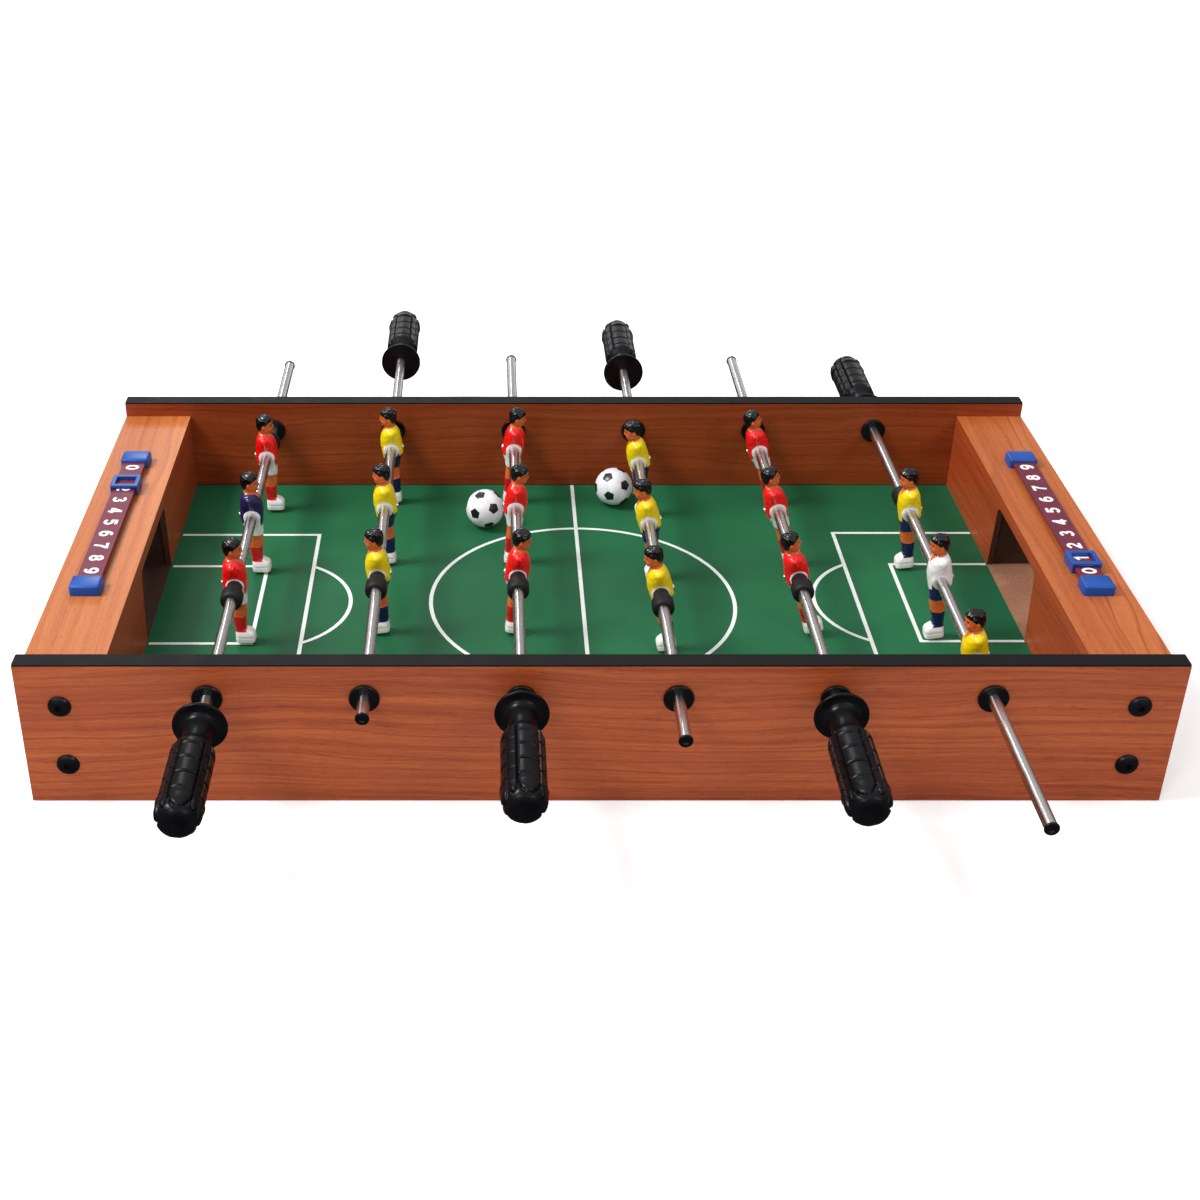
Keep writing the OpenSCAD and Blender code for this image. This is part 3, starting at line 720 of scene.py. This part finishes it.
def figure_mesh():
    bm = bmesh.new()
    # torso, shorts, legs, shoes; each row is a height, the back, the front, a half-width and a squareness
    loft(bm, (
        (-9.5, -5.6, 6.2, 5.4, 2.6), (-8, -6.6, 6.6, 5.9, 2.6), (-4, -8.2, 7.0, 6.15, 2.6), (0, -8.5, 7.4, 6.2, 2.5),
        (4, -8.4, 7.8, 6.2, 2.4), (7, -8.2, 7.6, 6.5, 2.3), (10, -8.0, 7.0, 7.0, 2.3), (13, -7.6, 6.0, 7.2, 2.2),
        (15.2, -7.0, 4.8, 6.4, 2.1), (17.0, -6.0, 3.8, 4.8, 2.0), (18.2, -5.2, 3.0, 3.6, 2.0)))
    loft(bm, (
        (-14.6, -4.4, 6.7, 5.5, 2.8), (-14.2, -4.6, 6.8, 5.7, 2.8), (-11, -5.4, 6.8, 5.9, 2.7),
        (-8, -6.4, 6.7, 6.0, 2.6), (-4, -7.2, 6.6, 6.0, 2.6)))
    loft(bm, (
        (-36.8, -2.3, 4.7, 3.7, 2.6), (-34, -2.6, 4.7, 3.8, 2.6), (-30, -3.2, 4.9, 4.0, 2.6),
        (-26, -3.5, 5.4, 4.3, 2.6), (-22, -3.7, 6.1, 4.4, 2.6), (-19, -3.8, 6.4, 4.4, 2.6),
        (-16, -4.0, 6.3, 4.7, 2.6), (-12, -4.4, 6.2, 5.2, 2.6)))
    loft(bm, (
        (-44.6, -2.2, 10.0, 4.8, 4.5), (-44.2, -2.7, 10.4, 5.2, 4.5), (-40.4, -2.8, 10.5, 5.3, 4.5),
        (-38.6, -2.8, 10.3, 5.1, 4.0), (-37.0, -2.7, 9.4, 4.7, 3.6), (-36.0, -2.7, 7.6, 4.2, 3.0),
        (-35.0, -2.7, 5.4, 3.9, 2.6)))
    # sleeves down the sides
    for s in (-1, 1):
        limb(bm, [(-1.2, s * 5.6, 13.2, 3.0), (-1.1, s * 5.0, 10.5, 2.8), (-0.8, s * 4.1, 7.5, 2.6),
                  (-0.4, s * 3.2, 4.5, 2.4)])
        blob(bm, (-1.2, s * 5.4, 24.3), (1.0, 0.8, 1.6), -10)          # ear
        blob(bm, (3.7, s * 2.5, 22.9), (1.3, 1.5, 1.5))                # cheek
    # neck, head, nose, chin, brow
    limb(bm, [(-2.2, 0, 15.5, 3.3), (-1.7, 0, 20.5, 3.1)])
    loft(bm, (
        (18.9, 0.2, 4.0, 1.8, 2.0), (19.4, -1.8, 4.6, 2.9, 2.0), (20.6, -4.4, 5.0, 4.2, 2.1),
        (22.2, -5.6, 5.1, 4.9, 2.2), (24.4, -6.2, 5.1, 5.3, 2.2), (26.4, -6.5, 5.2, 5.5, 2.2),
        (28.5, -6.5, 5.0, 5.5, 2.2), (30.0, -6.0, 4.3, 5.0, 2.1), (31.0, -4.9, 3.0, 4.0, 2.1),
        (31.5, -3.2, 1.2, 2.4, 2.0)))
    blob(bm, (5.0, 0, 23.9), (1.35, 0.85, 1.35), -18)
    blob(bm, (4.8, 0, 25.2), (0.8, 0.6, 1.5), -8)
    blob(bm, (3.8, 0, 20.1), (1.4, 1.6, 1.1))
    blob(bm, (4.6, 0, 21.9), (0.9, 1.5, 0.45))
    blob(bm, (4.3, 0, 27.0), (1.1, 3.4, 0.8))
    # hub round the rod
    cylinder(bm, 5.8, 2 * HUB_HALF - 0.1, 64, Matrix.Rotation(math.radians(90), 4, "X"))
    o = bpy.data.objects.new("figure_raw", to_mesh(bm, "figure_raw"))
    scene.collection.objects.link(o)
    remesh = o.modifiers.new("remesh", "REMESH")
    remesh.mode, remesh.voxel_size = "VOXEL", 0.42
    smooth = o.modifiers.new("smooth", "SMOOTH")
    smooth.factor, smooth.iterations = 0.5, 4
    o = applied(o)

    # moulded detail: hair, collar, hems, socks, shoes
    co, no = vectors(o.data, "co"), vectors(o.data, "normal")
    f = fields(co)
    x, y, z = co.T
    sweep = np.arctan2(y, z - 17.5)                                        # locks run from front to back
    locks = np.sin(sweep * 27 + 1.1 * np.sin(x * 0.75 + 0.6) + 0.5 * np.sin(x * 1.9 + y))
    hair = smoothstep(f["hair"], -0.15, 0.45)
    push = hair * (0.40 + 0.30 * locks)
    push += 0.2 * smoothstep(f["shirt"], -0.2, 0.3)                        # collar and hem
    folds = np.sin(z * 0.75 + 0.55 * y + 1.1 * np.sin(x * 0.45)) * np.sin(x * 0.6 + 0.4 * z)
    push += 0.10 * folds * smoothstep(f["shirt"], 0.4, 2.0)
    push += 0.22 * smoothstep(f["sock"], -0.2, 0.25) * (z < -22)
    sole = np.exp(-((z + 40.6) / 0.38) ** 2) * smoothstep(f["shoe"], 0.3, 1.0)
    push -= 0.38 * sole
    part = np.exp(-(y / 0.55) ** 2)
    # between the legs, a little deeper towards the feet, and between the shoes
    push -= 0.9 * part * smoothstep(-z, 15.4, 18.5) * (no[:, 2] ** 2 < 0.6) * smoothstep(-z, -99, 44)
    push -= 0.55 * part * smoothstep(-z, 35.5, 37) * (no[:, 2] > 0.3)
    crease = np.exp(-((z + 0.18 * x + 11.2) / 0.6) ** 2) * smoothstep(f["shorts"], 0.3, 1.2)
    push -= 0.12 * crease
    for s in (-1, 1):                                                      # eye sockets
        socket = np.exp(-(((y - s * 2.3) / 1.2) ** 2 + ((z - 25.5) / 0.9) ** 2)) * smoothstep(x, 2.5, 4)
        push -= 0.45 * socket
    mouth = np.exp(-((z - 21.75) / 0.22) ** 2) * (1 - smoothstep(np.abs(y), 1.2, 1.9)) * smoothstep(x, 3.4, 4.4)
    push -= 0.3 * mouth
    co = co + no * push[:, None]
    o.data.vertices.foreach_set("co", co.ravel())
    o.data.update()

    # bore for the rod and the seat of the screw
    bm = bmesh.new()
    cylinder(bm, ROD_R, 40, 72, Matrix.Rotation(math.radians(90), 4, "X"))
    bore = to_mesh(bm, "bore")
    bm = bmesh.new()
    cylinder(bm, 2.6, 6, 48, Matrix.Translation((-11.3, 0, 0)) @ Matrix.Rotation(math.radians(90), 4, "Y"))
    mesh = cut_away(o, (bore, to_mesh(bm, "seat")))
    co = vectors(mesh, "co")
    zones(mesh, fields(co))
    mesh.vertices.foreach_set("co", (co * MM).ravel())
    mesh.polygons.foreach_set("use_smooth", [True] * len(mesh.polygons))
    mesh.set_sharp_from_angle(angle=math.radians(62))
    mesh.update()
    mesh.name = "figure"
    return mesh


def fields(co):
    """Signed distances in millimetres, positive inside, to the painted zones of a player."""
    x, y, z = co.T
    r = np.hypot(x, z)
    head = z - 18.2
    hair = np.minimum(z - hair_line(x), head)
    front = smoothstep(x, 3.6, 5.0)
    fringe = (z - 28.6 - 0.35 * np.cos(y * 1.3)) * front + hair * (1 - front)
    hair = np.minimum(hair, np.where(front > 0, fringe, hair))
    # shirt: from the collar to the hem, open in a V at the front, cut round the hub at the sides
    collar = 17.6 - 0.10 * x - z
    vee = (np.abs(y) - (z - 12.6) * 0.62) * 0.85
    vee = np.where(x > 0.5, np.where(z > 12, vee, 5), 5)
    hem = z + 4.6 + 0.16 * (x + 7) + 0.35 * np.sin(y * 1.3)
    side = np.abs(y) - 3.4
    hub = np.minimum(5.95 - r, np.abs(y) - 4.6)
    below = np.minimum(np.minimum(-z, 5.6 - np.abs(x)), side)
    shirt = np.minimum(np.minimum(collar, vee), hem)
    shirt = np.minimum(shirt, -np.maximum(hub, below))
    shorts = np.minimum(1.0 - z, z + 14.9)
    sock_top = -24.6 + 0.25 * np.sin(x * 1.1 + y)
    sock = np.minimum(sock_top - z, z + 36.4)
    shoe = np.maximum(-36.2 - z, np.minimum(x - 4.9, -34.6 - z))
    eye = -1e3 * np.ones_like(x)
    brow = eye.copy()
    for s in (-1, 1):
        e = 1 - np.hypot((y - s * 2.25) / 0.85, (z - 25.4) / 0.5)
        eye = np.maximum(eye, np.where(x > 2.5, e * 0.5, -5))
        arch = np.abs(z - (26.9 - 0.18 * (np.abs(y) - 2.4) ** 2))
        b = np.minimum(0.24 - arch, 1.25 - np.abs(np.abs(y) - 2.4))
        brow = np.maximum(brow, np.where((x > 2.5) & (y * s > 0), b, -5))
    lips = np.minimum(0.3 - np.abs(z - 21.75), 1.35 - np.abs(y))
    lips = np.where(x > 3.2, lips, -5)
    return {"hair": hair, "shirt": shirt, "hub": hub, "shorts": shorts, "sock": sock, "shoe": shoe,
            "lips": lips, "ink": np.maximum(eye, brow)}


def paint(name, shirt, shorts, sock):
    """Enamel paint in zones over orange-tan skin."""
    g = Graph(name, IOR=1.45, Coat_Roughness=0.06)
    p = g.place()
    cloud = g.noise(p, 160, 3, 0.5)
    fine = g.noise(p, 900, 2, 0.5)
    dents = g.noise(p, 380, 1, 0.5)
    colour = g.mix(g.mask("z_lips", 0.3), g.mottle(cloud, "#e26a31", 0.12), lin("#b8402a"))
    for zone, c, k in (("z_shorts", shorts, 0.1), ("z_shirt", shirt, 0.08), ("z_hub", "#f2efed", 0.04),
                       ("z_sock", sock, 0.12), ("z_shoe", "#f0edeb", 0.04), ("z_ink", "#161214", 0.0),
                       ("z_hair", "#060608", 0.2)):
        colour = g.mix(g.mask(zone), colour, g.mottle(cloud, c, k))
    hair = g.mask("z_hair")
    rough = g.span(cloud, 0.3, 0.7, 0.26, 0.36)
    rough = g.math("SUBTRACT", rough, g.math("MULTIPLY", hair, 0.14))
    g.set(Base_Color=colour, Roughness=rough, Coat_Weight=g.span(hair, 0, 1, 0.45, 0.0))
    g.bump(g.math("ADD", dents, g.math("MULTIPLY", fine, 0.25)), 0.00022, 0.6)
    return g.mat


figure = figure_mesh()
RED_KIT = paint("paint_red", "#fb0a10", "#f2efed", "#cf0c18")
YELLOW_KIT = paint("paint_yellow", "#ffda03", "#121148", "#121148")
NAVY_KIT = paint("paint_navy", "#17104f", "#f2efed", "#cf0c18")
WHITE_KIT = paint("paint_white", "#fef5f6", "#121148", "#121148")
figure.materials.append(RED_KIT)
for n in RODS:
    red = n in RED
    turn = Matrix.Rotation(math.radians(-LEAN[n]), 4, "Y")
    if not red:
        turn = turn @ Matrix.Rotation(math.pi, 4, "Z")
    for k, place in ((-1, "front"), (0, "middle"), (1, "back")):
        at = rod_frame(n) + Vector((0, k * PLAYER_PITCH * MM, 0))
        keeper = k == 0 and n in (1, 6)
        if keeper:
            kit, slot = (NAVY_KIT, "keeper_navy") if n == 1 else (WHITE_KIT, "keeper_white")
        else:
            kit, slot = (RED_KIT, "red_team") if red else (YELLOW_KIT, "yellow_team")
        o = piece(f"player_{n}_{place}", figure, f"spin_{n}", Matrix.Translation(at) @ turn,
                  [f"keeper_{n}" if keeper else f"players_{n}"])
        o.material_slots[0].link = "OBJECT"
        o.material_slots[0].material = kit


# ---------- balls ----------

def ball_mesh(radius):
    """Sphere with grooves between its 12 pentagons and 20 hexagons; the radius is in millimetres."""
    bm = bmesh.new()
    bmesh.ops.create_icosphere(bm, subdivisions=6, radius=1)
    co = np.array([v.co for v in bm.verts])
    co /= np.linalg.norm(co, axis=1)[:, None]
    phi = (1 + 5 ** 0.5) / 2
    tips = np.array([v for a in (-1, 1) for b in (-phi, phi) for v in ((0, a, b), (a, b, 0), (b, 0, a))], float)
    tips /= np.linalg.norm(tips[0])
    pent = np.full(len(co), -9.0)
    for t in tips:
        near = tips[np.argsort(-tips @ t)[1]]
        ex = near - t * (near @ t)
        ex /= np.linalg.norm(ex)
        ey = np.cross(t, ex)
        ang = np.arccos(np.clip(co @ t, -1, 1))
        az = np.arctan2(co @ ey, co @ ex)
        m = (az % (2 * math.pi / 5)) - math.pi / 5
        pent = np.maximum(pent, 0.25 - ang * np.cos(m))
    # seams between the white panels
    faces = []
    for i in range(12):
        for j in range(i + 1, 12):
            for k in range(j + 1, 12):
                if min(tips[i] @ tips[j], tips[j] @ tips[k], tips[i] @ tips[k]) > 0.4:
                    c = tips[i] + tips[j] + tips[k]
                    faces.append(c / np.linalg.norm(c))
    d = np.sort(np.arccos(np.clip(co @ np.array(faces).T, -1, 1)), axis=1)
    seam = (d[:, 1] - d[:, 0]) / 2
    groove = np.exp(-(seam * radius / 0.22) ** 2) * (pent < 0.0)
    edge = np.exp(-(pent * radius / 0.22) ** 2)
    rad = radius - 0.16 * np.maximum(groove, edge)
    for v, p, q in zip(bm.verts, co, rad):
        v.co = p * q * MM
    mesh = to_mesh(bm, "ball")
    zones(mesh, {"pent": pent * radius, "seam": 0.20 - seam * radius})
    mesh.polygons.foreach_set("use_smooth", [True] * len(mesh.polygons))
    return mesh


def ball_material():
    g = Graph("ball_skin", IOR=1.5, Coat_Weight=0.15, Coat_Roughness=0.2)
    p = g.place()
    cloud = g.noise(p, 90, 3, 0.5)
    fine = g.noise(p, 1500, 2, 0.5)
    white = g.mix(g.span(cloud, 0.35, 0.65), lin("#e9e8ee"), lin("#f6f5fa"))
    white = g.mix(g.math("MULTIPLY", g.mask("z_seam", 0.2), 0.25), white, lin("#8c8a90"))
    g.set(Base_Color=g.mix(g.mask("z_pent", 0.12), white, lin("#101012")),
          Roughness=g.span(cloud, 0.3, 0.7, 0.30, 0.40))
    g.bump(fine, 0.00004, 0.5)
    return g.mat


lo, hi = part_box("ball_1")
ball = ball_mesh((hi.x - lo.x) / 2 / MM)
ball.materials.append(ball_material())
for n, turns in ((1, (20, 35, 10)), (2, (-35, 15, 60))):
    lo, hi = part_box(f"ball_{n}")
    rot = Matrix.Identity(4)
    for a, axis in zip(turns, "XYZ"):
        rot = rot @ Matrix.Rotation(math.radians(a), 4, axis)
    piece(f"ball_{n}_skin", ball, f"ball_{n}", Matrix.Translation((lo + hi) / 2) @ rot, [f"ball_{n}"])


# ---------- pitch lines ----------

def strip(bm, points, width, closed=False):
    """Flat printed line of one width along 2D points, with mitred corners, on the surface at height top.

    Each line is a hair thicker than the one before, so that no two of them share a surface where they cross.
    """
    global lift
    lift += 0.000012
    z0, z1 = top - 0.0003, top + lift
    pts = [Vector(p) for p in points]
    n = len(pts)
    rows = []
    for i, p in enumerate(pts):
        a = pts[i - 1] if (i or closed) else None
        b = pts[(i + 1) % n] if (i < n - 1 or closed) else None
        da = (p - a).normalized() if a is not None else (b - p).normalized()
        db = (b - p).normalized() if b is not None else da
        na, nb = Vector((-da.y, da.x)), Vector((-db.y, db.x))
        m = (na + nb).normalized()
        m *= width / 2 / max(0.3, m.dot(na))
        rows.append([bm.verts.new((q.x * MM, q.y * MM, z)) for z in (z0, z1) for q in (p - m, p + m)])
    pairs = list(zip(rows, rows[1:])) + ([(rows[-1], rows[0])] if closed else [])
    for a, b in pairs:
        bm.faces.new((a[2], b[2], b[3], a[3]))
        bm.faces.new((a[1], b[1], b[0], a[0]))
        bm.faces.new((a[0], b[0], b[2], a[2]))
        bm.faces.new((a[3], b[3], b[1], a[1]))
    if not closed:
        bm.faces.new((rows[0][0], rows[0][2], rows[0][3], rows[0][1]))
        bm.faces.new((rows[-1][1], rows[-1][3], rows[-1][2], rows[-1][0]))


START_LIFT = 0.00004                              # m, before the first line
LINE = 2.7                                        # the rest in mm
CIRCLE = 106
BOX_X, BOX_HALF = 192, 100                        # penalty area: distance from the middle, half-width
AREA_X, AREA_HALF = 225.5, 52.5                   # goal area
ARC_X, ARC_R = 222, 60                            # arc at the penalty area: its centre and radius
lo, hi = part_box("playfield")
top, lift = hi.z, START_LIFT
bm = bmesh.new()
half = hi.y / MM - 1.6
strip(bm, [(0, -half), (0, half)], LINE)
strip(bm, [(CIRCLE * math.cos(a * math.pi / 96), CIRCLE * math.sin(a * math.pi / 96)) for a in range(192)], LINE, True)
# the print is off centre: dy is how far it has slipped along Y, and margin where its lines stop
for s, dy, margin in ((-1, -4, 1.6), (1, -1, 0.7)):
    end = hi.x / MM - margin
    for x, y in ((BOX_X, BOX_HALF), (AREA_X, AREA_HALF)):
        strip(bm, [(s * end, y + dy), (s * x, y + dy), (s * x, -y + dy), (s * end, -y + dy)], LINE)
    a = math.acos((ARC_X - BOX_X) / ARC_R)
    strip(bm, [(s * (ARC_X - ARC_R * math.cos(t)), dy + ARC_R * math.sin(t)) for t in np.linspace(-a, a, 49)], LINE)
bmesh.ops.recalc_face_normals(bm, faces=bm.faces)
mesh = to_mesh(bm, "pitch_lines")
mesh.materials.append(line_white)
piece("pitch_lines", mesh, "cabinet")


# ---------- scorers ----------

CLAMP = Vector((20, 15.5, 7.2))                   # mm, size of an end clamp without its peg
PEG = 3.8                                         # mm, depth of the peg


def block(bm, at, size):
    bmesh.ops.create_cube(bm, size=1, matrix=Matrix.Translation(at) @ Matrix.Diagonal((*size, 1)))


def clamp_mesh(lo, hi):
    """Rounded clamp from y = 0 to its outer end, with a slot for the strip from height lo to hi, and a peg below."""
    bm = bmesh.new()
    block(bm, (0, CLAMP.y / 2, CLAMP.z / 2), CLAMP)
    edges = [e for e in bm.edges if max(v.co.z for v in e.verts) > 1]
    bmesh.ops.bevel(bm, geom=edges, offset=1.9, segments=4, profile=0.5, affect="EDGES")
    cylinder(bm, 2, PEG + 1, 32, Matrix.Translation((0, 7.0, (1 - PEG) / 2)))
    o = bpy.data.objects.new("clamp", to_mesh(bm, "clamp"))
    scene.collection.objects.link(o)
    bm = bmesh.new()
    block(bm, (0, 5.7, (lo + hi) / 2), (16, 11.8, hi - lo))
    mesh = cut_away(o, [to_mesh(bm, "slot")], overlap=True)
    mesh.transform(Matrix.Scale(MM, 4))
    mesh.materials.append(blue_plastic)
    mesh.polygons.foreach_set("use_smooth", [True] * len(mesh.polygons))
    mesh.set_sharp_from_angle(angle=math.radians(40))
    return mesh


lo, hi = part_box("score_clamps")
base_z = hi.z - CLAMP.z * MM
tape_lo, tape_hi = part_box("score_strips")
clamp = clamp_mesh((tape_lo.z - base_z) / MM, (tape_hi.z - base_z) / MM)
for side, x in (("left", lo.x + CLAMP.x / 2 * MM), ("right", hi.x - CLAMP.x / 2 * MM)):
    for end, y, turn in (("back", hi.y - CLAMP.y * MM, 0), ("front", lo.y + CLAMP.y * MM, math.pi)):
        piece(f"clamp_{side}_{end}", clamp, "cabinet",
              Matrix.Translation((x, y, base_z)) @ Matrix.Rotation(turn, 4, "Z"), ["score_clamps"])


# ---------- digits on the scorers ----------

def arc(cx, cy, rx, ry, start, end, n=24):
    return [(cx + rx * math.cos(math.radians(t)), cy + ry * math.sin(math.radians(t)))
            for t in np.linspace(start, end, n)]


# centre lines of each digit in millimetres, x in reading direction and y up; True closes a line
DIGITS = (
    ((arc(0, 0, 2.7, 3.85, 0, 345), True),),
    (([(0.7, 4.85), (0.7, -4.85)], False), ([(-2.2, 2.0), (0.3, 3.7)], False)),
    ((arc(0, 1.55, 2.6, 2.3, 165, -30) + [(-2.5, -3.6)], False), ([(-3.5, -3.9), (3.5, -3.9)], False)),
    ((arc(-0.1, 1.95, 2.4, 1.9, 155, -90), False), (arc(-0.1, -1.85, 2.8, 2.0, 90, -155), False)),
    (([(1.3, 4.85), (1.3, -4.85)], False), ([(-3.6, -2.1), (3.6, -2.1)], False), ([(-2.9, -1.7), (0.9, 4.0)], False)),
    (([(3.3, 3.85), (-1.8, 3.85), (-2.2, 0.3)], False), (arc(0, -1.35, 2.8, 2.5, 135, -155), False)),
    ((arc(0, -1.5, 2.7, 2.35, 0, 345), True), (arc(0.3, -0.9, 3.0, 4.75, 178, 62), False)),
    (([(-3.6, 3.85), (3.6, 3.85)], False), ([(2.7, 3.4), (0.2, 0), (-0.7, -4.85)], False)),
    ((arc(0, 2.0, 2.3, 1.85, 0, 345), True), (arc(0, -1.85, 2.7, 2.0, 0, 345), True)),
    ((arc(0, 1.5, 2.7, 2.35, 0, 345), True), (arc(-0.3, 0.9, 3.0, 4.75, -2, -118), False)),
)


def digits(name, x, y0, step, turn):
    """The numbers 0 to 9 in one mesh, flat on the strip; turn takes reading direction and up to the table."""
    bm = bmesh.new()
    for d, lines in enumerate(DIGITS):
        for points, closed in lines:
            strip(bm, [turn @ Vector(p) + Vector((x, y0 + d * step)) for p in points], STROKE, closed)
    bmesh.ops.recalc_face_normals(bm, faces=bm.faces)
    mesh = to_mesh(bm, name)
    mesh.materials.append(digit_white)
    return mesh


# mm: width of a digit's lines, width of the number strip, distance between digits, middle of each row along Y
STROKE, TAPE, STEP, ROW_Y = 2.0, 15.9, 16.7, 6.2
left_x, right_x = tape_lo.x / MM + TAPE / 2, tape_hi.x / MM - TAPE / 2
for name, x, s in (("digits_left", left_x, -1), ("digits_right", right_x, 1)):
    top, lift = tape_hi.z, START_LIFT
    mesh = digits(name, x, ROW_Y - s * STEP * 4.5, s * STEP, Matrix(((0, -s), (s, 0))))
    piece(name, mesh, "cabinet")


# ---------- studio ----------

floor = bpy.data.objects.new("floor", make("floor", [(-8, -8, 0), (8, -8, 0), (8, 12, 0), (-8, 12, 0)],
                                           [(0, 1, 2, 3)], [], False))
floor.location.z = -0.0005
g = Graph("floor_paper", Roughness=0.9, Emission_Strength=0.28)
g.set(Base_Color=g.mix(g.noise(g.place(), 40, 2, 0.5), lin("#f3f3f3"), lin("#f7f7f7")), Emission_Color=(1, 1, 1, 1))
floor.data.materials.append(g.mat)
scene.collection.objects.link(floor)
floor.visible_glossy = False


def area(name, at, size, power, aim=(0, 0, 0.03)):
    light = bpy.data.lights.new(name, "AREA")
    light.shape = "RECTANGLE"
    light.size, light.size_y = size
    light.energy = power
    o = bpy.data.objects.new(name, light)
    o.location = at
    o.rotation_euler = (Vector(aim) - Vector(at)).to_track_quat("-Z", "Y").to_euler()
    scene.collection.objects.link(o)
    return o


# place and size in metres, power in watts
area("key", (-1.9, -0.15, 2.35), (0.9, 0.9), 76)
area("front_left", (-1.3, -2.3, 1.8), (0.6, 0.6), 15)
area("front_right", (1.7, -2.2, 1.8), (0.7, 0.7), 12)
area("back", (-0.75, 3.0, 1.9), (0.5, 0.9), 12)
# a low card behind the table, seen only in glossy surfaces
card = area("rod_card", (0, 0.95, 0.13), (1.3, 0.24), 1.0, aim=(0, 0, 0.13))
card.visible_diffuse = False
world = bpy.data.worlds.new("world")
scene.world = world
world.use_nodes = True
tree = world.node_tree
sky = tree.nodes["Background"]
sky.inputs[1].default_value = 1.0
ramp = tree.nodes.new("ShaderNodeValToRGB")
marks = ramp.color_ramp.elements
for mark, (at, v) in zip((marks[0], marks[1], marks.new(0.6), marks.new(0.75)),
                         ((0.0, 0.05), (1.0, 0.34), (0.46, 0.10), (0.62, 0.20))):
    mark.position, mark.color = at, (v, v, v * 1.03, 1)
split = tree.nodes.new("ShaderNodeSeparateXYZ")
height = tree.nodes.new("ShaderNodeMapRange")
height.inputs[1].default_value = -1
tree.links.new(tree.nodes.new("ShaderNodeTexCoord").outputs["Generated"], split.inputs[0])
tree.links.new(split.outputs[2], height.inputs[0])
tree.links.new(height.outputs[0], ramp.inputs[0])
# the backdrop itself is white; the ramp is what lights the table
backdrop = tree.nodes.new("ShaderNodeMix")
backdrop.data_type = "RGBA"
backdrop.inputs[7].default_value = (0.96, 0.96, 0.96, 1)
tree.links.new(tree.nodes.new("ShaderNodeLightPath").outputs["Is Camera Ray"], backdrop.inputs[0])
tree.links.new(ramp.outputs[0], backdrop.inputs[6])
tree.links.new(backdrop.outputs[2], sky.inputs[0])
scene.view_settings.view_transform = "Standard"
scene.view_settings.look = "None"
scene.view_settings.exposure = 0.0
